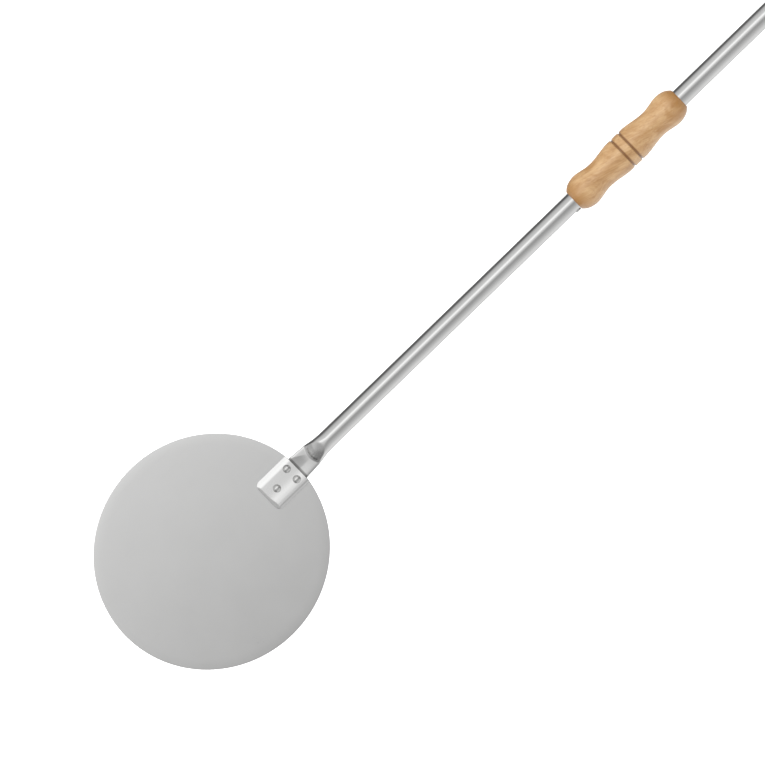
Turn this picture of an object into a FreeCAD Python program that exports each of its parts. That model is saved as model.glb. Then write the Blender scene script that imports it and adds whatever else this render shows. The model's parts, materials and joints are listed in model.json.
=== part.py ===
import FreeCAD, Part
import math
import os

# Round pizza-turning peel: a thin steel blade riveted to a long steel tube, with a
# turned wooden grip that slides and spins on the tube and a fixed one at its rear end.
#
# Frame, in millimetres: the blade lies flat on z = 0 with its centre at the origin,
# +X runs along the handle away from the blade, and +Z is up.
# The tube leaves the blade at a slight rise, so that the sliding grip clears the table.

Vector = FreeCAD.Vector
ORIGIN = Vector(0, 0, 0)
X_AXIS = Vector(1, 0, 0)
Y_AXIS = Vector(0, 1, 0)
Z_AXIS = Vector(0, 0, 1)

# ---- whole object ----
overall_length = 1200.0          # blade tip to the rear grip's end
floor_clearance = 0.05           # sliding grip above the table when the blade lies flat
running_clearance = 0.10         # radial, between pieces that slide or turn on each other
seat_clearance = 0.30            # between loosely meeting pieces
hidden_overlap = 1.0             # how far cutting tools reach past what they cut

# ---- blade ----
blade_length = 234.6             # along X
blade_width = 225.4              # along Y
blade_thickness = 1.0
blade_edge_round = 0.3

# ---- tube and its flattened front end ----
tube_diameter = 19.0
tube_wall = 1.0
tongue_width = 25.6
tongue_tip_overhang = 7.5        # tongue beyond the tip rivet's centre
tongue_tip_round = 6.0
tongue_edge_round = 0.9 * tube_wall
tongue_straight_past_blade = 1.0
taper_length = 28.5              # tongue narrows to the tube's width over this length
nose_start_past_blade = 14.0     # where the flat tongue begins to swell into the tube
nose_length = 27.0
tongue_into_nose = 0.6           # overlap where the flat tongue runs on into the nose
nose_squareness = 0.4            # exponent of the flat end's section; 1 gives an ellipse
nose_sections = 13
nose_section_points = 32

# ---- cover plate ----
plate_sheet = 1.0
plate_slope_run = 4.5            # width of the sloping border, seen from above
plate_corner_round = 6.0
plate_corner_tightening = 0.8    # how much the corner radius shrinks per millimetre of inset
plate_side_clearance = 0.55      # between the tongue's flat top and the plate's inner bend
plate_tip_clearance = 1.8        # the same, in front of the tongue's tip

# ---- rivets in the head ----
head_rivet_shank_diameter = 4.0
head_rivet_head_diameter = 8.0
head_rivet_head_height = 2.2
head_rivet_tail_diameter = 5.6   # flush, countersunk into the blade's underside
head_rivet_tail_depth = 0.7
rear_rivets_from_plate_back = 7.6
rear_rivets_half_spacing = 7.0
tip_rivet_from_plate_back = 27.6

# ---- sliding grip ----
grip_front = 489.9               # front end of the grip, at its front stop
grip_length = 142.2
grip_end_lip = 0.56              # wall left around the bore at the grip's ends
grip_bulb_radius = 17.6
grip_waist_radius = 15.15
grip_belly_radius = 17.85
grip_bulb_from_end = 14.2
grip_waist_from_end = 31.8
grip_belly_half_length = 11.0
grip_groove_from_middle = 5.1
grip_groove_width = 2.5
grip_groove_depth = 1.2

# ---- liner of the sliding grip ----
liner_wall = 0.8
liner_inset = 0.8                # from each end of the grip

# ---- stop rivet, a blind rivet in the tube's side ----
stop_head_diameter = 6.0
stop_head_height = 1.5
stop_head_flange = 0.4
stop_shank_diameter = 4.0
stop_blind_diameter = 5.2
stop_blind_length = 4.0
stop_mandrel_diameter = 2.2
stop_mandrel_recess = 0.4

# ---- rear grip ----
rear_grip_length = 132.0
rear_grip_bulb_radius = 17.6
rear_grip_waist_radius = 15.0
rear_grip_belly_radius = 17.2
rear_grip_end_radius = 6.5
rear_grip_bulb_from_front = 14.2
rear_grip_waist_from_front = 31.8
rear_grip_belly_from_end = 34.0
rear_grip_dome_length = 14.0
rear_grip_dome_radius = 15.8
tube_insertion = 88.0

# ---- screws that hold the rear grip ----
rear_screw_from_front = 32.0
rear_screw_head_diameter = 6.4
rear_screw_head_height = 1.8
rear_screw_seat_depth = 1.0
rear_screw_shank_diameter = 3.0
rear_screw_reach_into_tube = 4.0
rear_screw_slot_width = 0.9
rear_screw_slot_depth = 0.9

# ---- screw eye and hanging ring ----
eye_wire_diameter = 2.5
eye_hole_diameter = 7.0
eye_neck_length = 1.5
eye_thread_diameter = 3.0
eye_thread_length = 18.0
ring_wire_diameter = 2.5
ring_middle_radius = 11.8

# ---- worked out from the sizes above ----
tube_radius = tube_diameter / 2
tongue_thickness = 2 * tube_wall
tongue_top = blade_thickness + tongue_thickness
plate_top = tongue_top + plate_sheet
plate_rise = plate_top - blade_thickness
plate_slope = math.atan2(plate_rise, plate_slope_run)
plate_foot = plate_sheet / math.sin(plate_slope)          # width of the border's foot on the blade
plate_inner_run = tongue_thickness / math.tan(plate_slope)
plate_border = plate_foot + plate_inner_run
plate_half_width = tongue_width / 2 - tongue_edge_round + plate_side_clearance + plate_border
plate_length = tip_rivet_from_plate_back + tongue_tip_overhang + plate_tip_clearance + plate_border
liner_bore_radius = tube_radius + running_clearance
liner_radius = liner_bore_radius + liner_wall
grip_bore_radius = liner_radius + running_clearance
grip_end_radius = grip_bore_radius + grip_end_lip
rear_bore_radius = tube_radius + running_clearance


def blade_rim_x(y):
    """X of the blade's rim on the handle side, at a distance y from the axis."""
    return blade_length / 2 * math.sqrt(1 - (2 * y / blade_width) ** 2)


plate_back = blade_rim_x(plate_half_width)
plate_front = plate_back - plate_length
tip_rivet_x = plate_back - tip_rivet_from_plate_back
rear_rivets_x = plate_back - rear_rivets_from_plate_back
tongue_tip = tip_rivet_x - tongue_tip_overhang
taper_start = blade_length / 2 + tongue_straight_past_blade
nose_start = blade_length / 2 + nose_start_past_blade
nose_end = nose_start + nose_length

# The tube's underside leaves the blade's top at the nose, and rises from there just
# enough for the sliding grip's front bulb to clear the table.
bend_height = blade_thickness + tube_radius
bulb_reach = grip_front + grip_bulb_from_end - nose_start
bulb_angle = math.atan2(grip_bulb_radius, bulb_reach)
drop_ratio = (bend_height - floor_clearance) / math.hypot(bulb_reach, grip_bulb_radius)
tube_rise = bulb_angle - math.asin(drop_ratio)

rear_grip_end = nose_start + (overall_length - blade_length / 2 - nose_start) / math.cos(tube_rise)
rear_grip_front = rear_grip_end - rear_grip_length
tube_end = rear_grip_front + tube_insertion
eye_middle_radius = (eye_hole_diameter + eye_wire_diameter) / 2
eye_x = rear_grip_end + eye_neck_length + eye_middle_radius


# ---- helpers ----
def put_on_tube(shape):
    """Place a shape that was made along the X axis onto the rising tube's axis."""
    shape.translate(Vector(-nose_start, 0, 0))
    shape.rotate(ORIGIN, Y_AXIS, -math.degrees(tube_rise))
    shape.translate(Vector(nose_start, 0, bend_height))
    return shape


def tube_axis_height(x):
    """Height of the tube's axis above the table, at a distance x along the axis."""
    return bend_height + (x - nose_start) * math.sin(tube_rise)


def rod(radius, start, length, direction):
    return Part.makeCylinder(radius, length, start, direction)


def x_rod(radius, x_start, x_end):
    return rod(radius, Vector(x_start, 0, 0), x_end - x_start, X_AXIS)


def dome(radius, height, base, direction):
    """Spherical cap that stands on its base circle."""
    sphere_radius = (radius ** 2 + height ** 2) / (2 * height)
    centre = base - direction * (sphere_radius - height)
    ball = Part.makeSphere(sphere_radius, centre)
    return ball.common(rod(radius + hidden_overlap, base, height + hidden_overlap, direction))


def smooth_curve(points):
    """Smooth curve in the XZ plane through (x, radius) points."""
    curve = Part.BSplineCurve()
    curve.interpolate([Vector(x, 0, radius) for x, radius in points])
    return curve.toShape()


def line(a, b):
    return Part.makeLine(Vector(a[0], 0, a[1]), Vector(b[0], 0, b[1]))


def turned(edges):
    """Turn a closed outline of edges in the XZ plane about the X axis."""
    face = Part.Face(Part.Wire(edges))
    return face.revolve(ORIGIN, X_AXIS, 360)


# ---- blade, cover plate and their rivets ----
def head_rivet_spots():
    return {
        "left": (rear_rivets_x, rear_rivets_half_spacing),
        "right": (rear_rivets_x, -rear_rivets_half_spacing),
        "tip": (tip_rivet_x, 0.0),
    }


def make_head_rivet(x, y):
    """Domed head on the cover plate, shank, and a tail flush with the blade's underside."""
    shank_radius = head_rivet_shank_diameter / 2
    head = dome(head_rivet_head_diameter / 2, head_rivet_head_height, Vector(x, y, plate_top), Z_AXIS)
    shank = rod(shank_radius, Vector(x, y, 0), plate_top, Z_AXIS)
    tail = Part.makeCone(head_rivet_tail_diameter / 2, shank_radius, head_rivet_tail_depth,
                         Vector(x, y, 0), Z_AXIS)
    return head.fuse([shank, tail]).removeSplitter()


def drill_for_head_rivets(shape):
    for x, y in head_rivet_spots().values():
        shape = shape.cut(make_head_rivet(x, y))
    return shape


def make_blade():
    half_axes = [X_AXIS * (blade_length / 2), Y_AXIS * (blade_width / 2)]
    longer, shorter = sorted(half_axes, key=lambda half_axis: half_axis.Length, reverse=True)
    rim = Part.Ellipse(longer, shorter, ORIGIN).toShape()
    sheet = Part.Face(Part.Wire(rim)).extrude(Z_AXIS * blade_thickness)
    rims = [edge for edge in sheet.Edges if edge.BoundBox.ZLength < blade_edge_round]
    sheet = sheet.makeFillet(blade_edge_round, rims)
    return drill_for_head_rivets(sheet)


def plate_outline(z, inset, x_back):
    """Outline of the cover plate at a height: square at the back, rounded at the front."""
    half = plate_half_width - inset
    front = plate_front + inset
    radius = plate_corner_round - inset * plate_corner_tightening
    diagonal = radius * (1 - math.sqrt(0.5))
    corners = []
    for side in (1, -1):
        on_side = Vector(front + radius, side * half, z)
        on_front = Vector(front, side * (half - radius), z)
        middle = Vector(front + diagonal, side * (half - diagonal), z)
        corners.append((on_side, middle, on_front))
    (left_side, left_middle, left_front), (right_side, right_middle, right_front) = corners
    back_left = Vector(x_back, half, z)
    back_right = Vector(x_back, -half, z)
    return Part.Wire([
        Part.makeLine(back_left, left_side),
        Part.Arc(left_side, left_middle, left_front).toShape(),
        Part.makeLine(left_front, right_front),
        Part.Arc(right_front, right_middle, right_side).toShape(),
        Part.makeLine(right_side, back_right),
        Part.makeLine(back_right, back_left),
    ])


def make_cover_plate():
    """Dished sheet: a flat top with borders that slope down to the blade on three sides."""
    outside = Part.makeLoft([
        plate_outline(blade_thickness, 0, plate_back),
        plate_outline(plate_top, plate_slope_run, plate_back),
    ], True, True)
    open_back = plate_back + hidden_overlap
    inside = Part.makeLoft([
        plate_outline(blade_thickness, plate_foot, open_back),
        plate_outline(tongue_top, plate_border, open_back),
    ], True, True)
    return drill_for_head_rivets(outside.cut(inside))


# ---- tube ----
def tongue_half_width(x):
    """Half the flattened tube's width, which narrows evenly to the tube's own radius."""
    share = min(1.0, max(0.0, (x - taper_start) / taper_length))
    return tongue_width / 2 + (tube_radius - tongue_width / 2) * share


def make_tongue():
    """Flattened end of the tube: parallel under the cover plate, then narrowing."""
    half = tongue_width / 2
    end = nose_start + tongue_into_nose
    end_half = tongue_half_width(end)
    round_x = tongue_tip + tongue_tip_round
    round_y = half - tongue_tip_round
    diagonal = tongue_tip_round * (1 - math.sqrt(0.5))
    edges = []
    for side in (1, -1):
        tip = Vector(tongue_tip, side * round_y, 0)
        tip_middle = Vector(tongue_tip + diagonal, side * (half - diagonal), 0)
        side_start = Vector(round_x, side * half, 0)
        side_end = Vector(taper_start, side * half, 0)
        edges.append(Part.Arc(tip, tip_middle, side_start).toShape())
        edges.append(Part.makeLine(side_start, side_end))
        edges.append(Part.makeLine(side_end, Vector(end, side * end_half, 0)))
    edges.append(Part.makeLine(Vector(tongue_tip, round_y, 0), Vector(tongue_tip, -round_y, 0)))
    edges.append(Part.makeLine(Vector(end, end_half, 0), Vector(end, -end_half, 0)))
    outline = Part.Wire(Part.__sortEdges__(edges))
    tongue = Part.Face(outline).extrude(Z_AXIS * tongue_thickness)
    long_edges = [edge for edge in tongue.Edges
                  if edge.BoundBox.ZLength < tongue_edge_round and edge.BoundBox.XLength > hidden_overlap]
    tongue = tongue.makeFillet(tongue_edge_round, long_edges)
    tongue.translate(Vector(0, 0, blade_thickness))
    return tongue


def squared(value, power):
    """A sine or cosine raised to a power, with its sign kept."""
    return math.copysign(abs(value) ** power, value)


def nose_section(share, wall):
    """Section of the nose at a share of its length, shrunk by a wall thickness.

    It is a flat rounded bar at the tongue and swells into the tube's circle.
    """
    x = nose_start + share * nose_length
    circle = Part.Circle(ORIGIN, X_AXIS, tube_radius - wall)
    if share == 1:
        circle.Center = Vector(x, 0, 0)
        return Part.Wire(circle.toShape())
    swell = (1 - math.cos(math.pi * share)) / 2
    half_width = tongue_half_width(x) - wall
    half_height = tube_wall + (tube_radius - tube_wall) * swell - wall
    middle = half_height + wall - tube_radius
    power = nose_squareness + (1 - nose_squareness) * swell
    points = []
    for k in range(nose_section_points):
        spoke = circle.value(2 * math.pi * k / nose_section_points) / circle.Radius
        y = half_width * squared(spoke.y, power)
        z = half_height * squared(spoke.z, power)
        points.append(Vector(x, y, middle + z))
    curve = Part.BSplineCurve()
    curve.interpolate(Points=points, PeriodicFlag=True)
    return Part.Wire(curve.toShape())


def make_nose(wall, first_section):
    sections = [nose_section(k / (nose_sections - 1), wall) for k in range(first_section, nose_sections)]
    return Part.makeLoft(sections, True, True)


def make_tube():
    """One piece: tongue, nose and round tube, hollow behind the flattened stretch."""
    outside = make_nose(0.0, 0).fuse(x_rod(tube_radius, nose_end, tube_end))
    inside = make_nose(tube_wall, 1).fuse(
        x_rod(tube_radius - tube_wall, nose_end, tube_end + hidden_overlap))
    outside = put_on_tube(outside).fuse(make_tongue())
    tube = outside.cut(put_on_tube(inside))
    tube = drill_for_head_rivets(tube)
    tube = tube.cut(put_on_tube(make_stop_hole()))
    for side in (1, -1):
        tube = tube.cut(put_on_tube(make_rear_screw_hole(side)))
    return tube


# ---- stop rivet ----
def stop_rivet_x():
    return grip_front - seat_clearance - stop_head_diameter / 2


def stop_rivet_side(depth):
    """Point on the stop rivet's axis, at a depth below the tube's outer surface."""
    return Vector(stop_rivet_x(), -(tube_radius - depth), 0)


def make_stop_hole():
    return rod(stop_shank_diameter / 2, stop_rivet_side(-hidden_overlap), tube_wall + 2 * hidden_overlap,
               Y_AXIS)


def make_stop_rivet_body():
    """Blind rivet: low domed head outside, shank through the wall, swollen end inside."""
    outward = Y_AXIS * -1
    sag = tube_radius - math.sqrt(tube_radius ** 2 - (stop_head_diameter / 2) ** 2)
    head_base = stop_rivet_side(0)
    head = dome(stop_head_diameter / 2, stop_head_height - stop_head_flange,
                head_base + outward * stop_head_flange, outward)
    flange = rod(stop_head_diameter / 2, stop_rivet_side(sag), sag + stop_head_flange, outward)
    flange = flange.cut(x_rod(tube_radius, stop_rivet_x() - stop_head_diameter,
                              stop_rivet_x() + stop_head_diameter))
    shank = rod(stop_shank_diameter / 2, stop_rivet_side(-stop_head_flange),
                stop_head_flange + tube_wall + sag, Y_AXIS)
    blind = rod(stop_blind_diameter / 2, stop_rivet_side(tube_wall + sag), stop_blind_length, Y_AXIS)
    body = head.fuse([flange, shank, blind])
    return body.cut(make_mandrel_stem())


def make_mandrel_stem():
    depth = tube_wall + stop_blind_length
    return rod(stop_mandrel_diameter / 2, stop_rivet_side(-stop_head_height),
               depth + stop_head_height + hidden_overlap, Y_AXIS)


def make_stop_rivet_mandrel():
    """Broken-off stem inside the blind rivet, a little below the head's top."""
    recess = rod(stop_mandrel_diameter, stop_rivet_side(-stop_head_height),
                 stop_mandrel_recess, Y_AXIS)
    return make_mandrel_stem().cut(recess)


# ---- sliding grip ----
def bulb_points(bulb_x, bulb_radius):
    """Points along a grip's rounded end, from its end face up to the bulb."""
    rise = bulb_radius - grip_end_radius
    return [
        (0.0, grip_end_radius),
        (bulb_x * 0.30, grip_end_radius + rise * 0.56),
        (bulb_x * 0.60, grip_end_radius + rise * 0.84),
        (bulb_x, bulb_radius),
    ]


def sliding_grip_points():
    """Radii of the turned grip from its front end to its middle."""
    half = grip_length / 2
    return bulb_points(grip_bulb_from_end, grip_bulb_radius) + [
        (grip_waist_from_end, grip_waist_radius),
        (half - grip_belly_half_length, grip_belly_radius),
        (half, grip_belly_radius),
    ]


def make_sliding_grip():
    half = grip_length / 2
    front_half = smooth_curve(sliding_grip_points())
    rear_half = front_half.mirror(Vector(half, 0, 0), X_AXIS)
    body = turned([
        front_half,
        rear_half,
        line((grip_length, grip_end_radius), (grip_length, 0)),
        line((grip_length, 0), (0, 0)),
        line((0, 0), (0, grip_end_radius)),
    ])
    for side in (-1, 1):
        body = body.cut(make_v_groove(half + side * grip_groove_from_middle))
    body = body.cut(x_rod(grip_bore_radius, -hidden_overlap, grip_length + hidden_overlap))
    body.translate(Vector(grip_front, 0, 0))
    return put_on_tube(body)


def make_v_groove(x):
    """Ring of triangular section that cuts a decorative groove."""
    bottom = grip_belly_radius - grip_groove_depth
    slope = grip_groove_width / 2 / grip_groove_depth
    top = grip_belly_radius + hidden_overlap
    reach = (top - bottom) * slope
    return turned([
        line((x, bottom), (x + reach, top)),
        line((x + reach, top), (x - reach, top)),
        line((x - reach, top), (x, bottom)),
    ])


def make_grip_liner():
    start = grip_front + liner_inset
    end = grip_front + grip_length - liner_inset
    sleeve = x_rod(liner_radius, start, end)
    bore = x_rod(liner_bore_radius, start - hidden_overlap, end + hidden_overlap)
    return put_on_tube(sleeve.cut(bore))


# ---- rear grip ----
def make_rear_grip():
    outer = smooth_curve(bulb_points(rear_grip_bulb_from_front, rear_grip_bulb_radius) + [
        (rear_grip_waist_from_front, rear_grip_waist_radius),
        (rear_grip_length - rear_grip_belly_from_end, rear_grip_belly_radius),
        (rear_grip_length - rear_grip_dome_length, rear_grip_dome_radius),
        (rear_grip_length, rear_grip_end_radius),
    ])
    body = turned([
        outer,
        line((rear_grip_length, rear_grip_end_radius), (rear_grip_length, 0)),
        line((rear_grip_length, 0), (0, 0)),
        line((0, 0), (0, grip_end_radius)),
    ])
    body.translate(Vector(rear_grip_front, 0, 0))
    body = body.cut(x_rod(rear_bore_radius, rear_grip_front - hidden_overlap, tube_end + seat_clearance))
    body = body.cut(x_rod(eye_thread_diameter / 2, rear_grip_end - eye_thread_length,
                          rear_grip_end + hidden_overlap))
    for side in (1, -1):
        body = body.cut(make_rear_screw_hole(side))
        body = body.cut(make_rear_screw_seat(side))
    return put_on_tube(body)


def rear_screw_point(side, radius):
    return Vector(rear_grip_front + rear_screw_from_front, side * radius, 0)


def rear_screw_seat_radius():
    return rear_grip_waist_radius - rear_screw_seat_depth


def make_rear_screw_hole(side):
    inner = tube_radius - rear_screw_reach_into_tube
    return rod(rear_screw_shank_diameter / 2, rear_screw_point(side, inner),
               rear_grip_bulb_radius - inner, Y_AXIS * side)


def make_rear_screw_seat(side):
    return rod(rear_screw_head_diameter / 2 + running_clearance,
               rear_screw_point(side, rear_screw_seat_radius()),
               rear_grip_bulb_radius, Y_AXIS * side)


def make_rear_screw(side):
    """Round-headed slotted screw, through the wood and into the tube's wall."""
    outward = Y_AXIS * side
    inner = tube_radius - rear_screw_reach_into_tube
    seat = rear_screw_seat_radius()
    head = dome(rear_screw_head_diameter / 2, rear_screw_head_height, rear_screw_point(side, seat), outward)
    shank = rod(rear_screw_shank_diameter / 2, rear_screw_point(side, inner), seat - inner, outward)
    slot = Part.makeBox(rear_screw_head_diameter, rear_screw_slot_depth + hidden_overlap,
                        rear_screw_slot_width)
    slot_centre = rear_screw_point(side, seat + rear_screw_head_height + hidden_overlap / 2
                                   - rear_screw_slot_depth / 2)
    slot.translate(slot_centre - slot.BoundBox.Center)
    return put_on_tube(head.fuse(shank).cut(slot))


# ---- screw eye and hanging ring ----
def make_screw_eye():
    """Eye in the XZ plane on a stem that screws into the rear grip's end."""
    wire = eye_wire_diameter / 2
    loop = Part.makeTorus(eye_middle_radius, wire, Vector(eye_x, 0, 0), Y_AXIS)
    neck = x_rod(wire, rear_grip_end, eye_x - eye_middle_radius)
    thread = x_rod(eye_thread_diameter / 2, rear_grip_end - eye_thread_length, rear_grip_end)
    return put_on_tube(loop.fuse([neck, thread]))


def ring_pivot():
    """Centre of the ring's wire where it lies in the eye."""
    drop = eye_hole_diameter / 2 - ring_wire_diameter / 2 - seat_clearance
    along = (eye_x - nose_start) * math.cos(tube_rise) + nose_start
    return Vector(along, 0, tube_axis_height(eye_x) - drop)


def make_hanging_ring():
    """Ring that hangs straight down from the eye, across the handle."""
    centre = ring_pivot() - Z_AXIS * ring_middle_radius
    return Part.makeTorus(ring_middle_radius, ring_wire_diameter / 2, centre, X_AXIS)


def make_all_pieces():
    pieces = {
        "blade": make_blade(),
        "cover_plate": make_cover_plate(),
        "tube": make_tube(),
        "stop_rivet_body": put_on_tube(make_stop_rivet_body()),
        "stop_rivet_mandrel": put_on_tube(make_stop_rivet_mandrel()),
        "grip_liner": make_grip_liner(),
        "sliding_grip": make_sliding_grip(),
        "rear_grip": make_rear_grip(),
        "rear_grip_screw_left": make_rear_screw(1),
        "rear_grip_screw_right": make_rear_screw(-1),
        "screw_eye": make_screw_eye(),
        "hanging_ring": make_hanging_ring(),
    }
    for place, (x, y) in head_rivet_spots().items():
        pieces["head_rivet_" + place] = make_head_rivet(x, y)
    return pieces


def main():
    os.makedirs("parts", exist_ok=True)
    for name, shape in make_all_pieces().items():
        shape.exportStep("parts/" + name + ".step")
        print(name, "solids", len(shape.Solids), "valid", shape.isValid(),
              "volume", round(shape.Volume, 1))


main()
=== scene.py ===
import json
import math

import bmesh
import bpy
import numpy as np
from mathutils import Matrix, Vector


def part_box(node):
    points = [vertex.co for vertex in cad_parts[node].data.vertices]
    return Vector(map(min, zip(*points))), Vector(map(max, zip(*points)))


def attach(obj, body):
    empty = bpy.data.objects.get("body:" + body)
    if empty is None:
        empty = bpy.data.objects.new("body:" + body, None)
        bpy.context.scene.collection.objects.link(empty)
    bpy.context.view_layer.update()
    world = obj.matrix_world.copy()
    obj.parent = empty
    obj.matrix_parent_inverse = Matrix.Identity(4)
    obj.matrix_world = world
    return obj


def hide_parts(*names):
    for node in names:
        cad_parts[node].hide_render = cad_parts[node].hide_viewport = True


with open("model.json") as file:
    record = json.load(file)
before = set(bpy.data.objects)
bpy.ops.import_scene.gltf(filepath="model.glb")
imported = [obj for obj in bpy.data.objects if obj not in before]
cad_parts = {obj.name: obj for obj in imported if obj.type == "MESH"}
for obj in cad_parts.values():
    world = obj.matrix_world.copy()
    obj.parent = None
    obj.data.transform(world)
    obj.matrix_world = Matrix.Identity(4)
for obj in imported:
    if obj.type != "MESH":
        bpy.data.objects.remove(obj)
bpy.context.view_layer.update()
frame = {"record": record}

# Round pizza-turning peel. The blade lies flat, the handle runs along +X, +Z is up.
# Lengths are in metres; MM turns millimetres into them.

MM = 0.001
AROUND = 160                      # points round a turned piece
SHARP_DEGREES = 35                # edges turned more than this stay sharp

JOINTS = {joint["name"]: joint for joint in frame["record"]["behaviour"]["joints"]}
AXIS = Vector(JOINTS["grip_slide"]["axis"]).normalized()
AXIS_POINT = Vector(JOINTS["grip_spin"]["pos_m"])
AXIS_SIDE = Vector((0, 1, 0))
AXIS_UP = AXIS.cross(AXIS_SIDE)
RISE_SIN = AXIS.z
RISE_COS = AXIS.x

TUBE_RADIUS = 9.5 * MM
TUBE_WALL = 1.0 * MM
SHEET = 1.0 * MM                  # thickness of the blade and of the plate's sheet
WIRE_END_NARROWING = 0.35         # share of the radius lost at a cut end


# ---------------------------------------------------------------- mesh tools
def along_tube(u, side=0.0, up=0.0):
    """Point at a distance u along the tube's axis, and off it to the side and up."""
    return AXIS_POINT + AXIS * (u - AXIS_POINT.x) + AXIS_SIDE * side + AXIS_UP * up


def tube_reach(node, end_radius):
    """Where a round piece on the tube starts and ends along the axis."""
    low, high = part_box(node)
    length = (high.x - low.x - 2 * end_radius * RISE_SIN) / RISE_COS
    middle = AXIS_POINT.x + ((low.x + high.x) / 2 - AXIS_POINT.x) / RISE_COS
    return middle - length / 2, middle + length / 2


def make_object(name, points, faces, sharp_degrees=SHARP_DEGREES):
    mesh = bpy.data.meshes.new(name)
    mesh.from_pydata([tuple(point) for point in points], [], faces)
    mesh.validate()
    work = bmesh.new()
    work.from_mesh(mesh)
    bmesh.ops.recalc_face_normals(work, faces=work.faces)
    work.to_mesh(mesh)
    work.free()
    mesh.shade_smooth()
    mesh.set_sharp_from_angle(angle=math.radians(sharp_degrees))
    piece = bpy.data.objects.new(name, mesh)
    bpy.context.scene.collection.objects.link(piece)
    return piece


def ring_faces(first, second, count, closed=True):
    """Quads between two rings of points that start at these indices."""
    last = count if closed else count - 1
    return [(first + k, first + (k + 1) % count, second + (k + 1) % count, second + k)
            for k in range(last)]


def lathe(name, profile, place, closed=False, around=AROUND):
    """Turn a profile of (along, radius) points; place(along, side, up) puts them in space.

    A closed profile gives a ring-shaped solid. An open one starts and ends on the axis.
    """
    points = []
    faces = []
    rows = profile if closed else profile[1:-1]
    for along, radius in rows:
        for k in range(around):
            turn = 2 * math.pi * k / around
            points.append(place(along, radius * math.cos(turn), radius * math.sin(turn)))
    for row in range(len(rows) - 1):
        faces += ring_faces(row * around, (row + 1) * around, around)
    last = (len(rows) - 1) * around
    if closed:
        faces += ring_faces(last, 0, around)
    else:
        start, end = len(points), len(points) + 1
        points.append(place(profile[0][0], 0, 0))
        points.append(place(profile[-1][0], 0, 0))
        faces += [(start, (k + 1) % around, k) for k in range(around)]
        faces += [(end, last + k, last + (k + 1) % around) for k in range(around)]
    return make_object(name, points, faces)


def sweep(name, path, radius, closed=False, around=24):
    """Round wire along a path of points; the ends of an open one are narrowed."""
    path = [Vector(point) for point in path]
    count = len(path)
    points = []
    faces = []
    side = None
    for k in range(count):
        before = path[k - 1] if closed or k > 0 else path[k]
        after = path[(k + 1) % count] if closed or k < count - 1 else path[k]
        forward = (after - before).normalized()
        if side is None:
            side = forward.orthogonal().normalized()
        side = (side - forward * side.dot(forward)).normalized()
        other = forward.cross(side)
        thickness = radius
        if not closed and k in (0, count - 1):
            thickness = radius * (1 - WIRE_END_NARROWING)
        for j in range(around):
            turn = 2 * math.pi * j / around
            points.append(path[k] + (side * math.cos(turn) + other * math.sin(turn)) * thickness)
    for k in range(count - 1):
        faces += ring_faces(k * around, (k + 1) * around, around)
    if closed:
        faces += ring_faces((count - 1) * around, 0, around)
    else:
        faces.append(tuple(range(around)))
        faces.append(tuple(range((count - 1) * around, count * around)))
    return make_object(name, points, faces)


def smooth_profile(points, steps):
    """Natural cubic spline through (along, radius) points, as evenly stepped points."""
    points = np.array(points, float)
    count = len(points)
    knots = np.concatenate([[0], np.cumsum(np.hypot(*np.diff(points, axis=0).T))])
    gap = np.diff(knots)
    matrix = np.eye(count)
    right = np.zeros((count, 2))
    for k in range(1, count - 1):
        matrix[k, k - 1:k + 2] = gap[k - 1], 2 * (gap[k - 1] + gap[k]), gap[k]
        right[k] = 6 * ((points[k + 1] - points[k]) / gap[k] - (points[k] - points[k - 1]) / gap[k - 1])
    bend = np.linalg.solve(matrix, right)
    result = []
    for value in np.linspace(0, knots[-1], steps):
        k = min(int(np.searchsorted(knots, value, side="right")) - 1, count - 2)
        ahead = knots[k + 1] - value
        behind = value - knots[k]
        place = (bend[k] * ahead ** 3 + bend[k + 1] * behind ** 3) / (6 * gap[k])
        place = place + (points[k] / gap[k] - bend[k] * gap[k] / 6) * ahead
        place = place + (points[k + 1] / gap[k] - bend[k + 1] * gap[k] / 6) * behind
        result.append((float(place[0]), float(place[1])))
    return result


def cut_with(piece, cutters):
    """Cut closed meshes out of a piece and delete them."""
    for cutter in cutters:
        change = piece.modifiers.new("cut", "BOOLEAN")
        change.operation = "DIFFERENCE"
        change.solver = "EXACT"
        change.object = cutter
        bpy.context.view_layer.update()
        settled = piece.evaluated_get(bpy.context.evaluated_depsgraph_get())
        mesh = bpy.data.meshes.new_from_object(settled)
        piece.modifiers.clear()
        piece.data = mesh
        bpy.data.objects.remove(cutter)
    piece.data.shade_smooth()
    piece.data.set_sharp_from_angle(angle=math.radians(SHARP_DEGREES))


def finish_piece(piece, body, nodes, material):
    piece.data.materials.clear()
    piece.data.materials.append(material)
    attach(piece, body)
    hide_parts(*nodes)


# ---------------------------------------------------------------- materials
WOOD_LIGHT = (0.510, 0.325, 0.155)
WOOD_MIDDLE = (0.410, 0.235, 0.095)
WOOD_DARK = (0.310, 0.160, 0.055)
WOOD_AMBER = (0.300, 0.140, 0.030)
WOOD_FLECK = (0.220, 0.100, 0.030)
# painted shade for the grip's grooves
WOOD_GROOVE_SHADE = (0.170, 0.070, 0.018)
# painted shade: the plate's shadow on the tube just behind its back edge
CREVICE_PAINTED_SHADE = (0.10, 0.10, 0.095)


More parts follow.
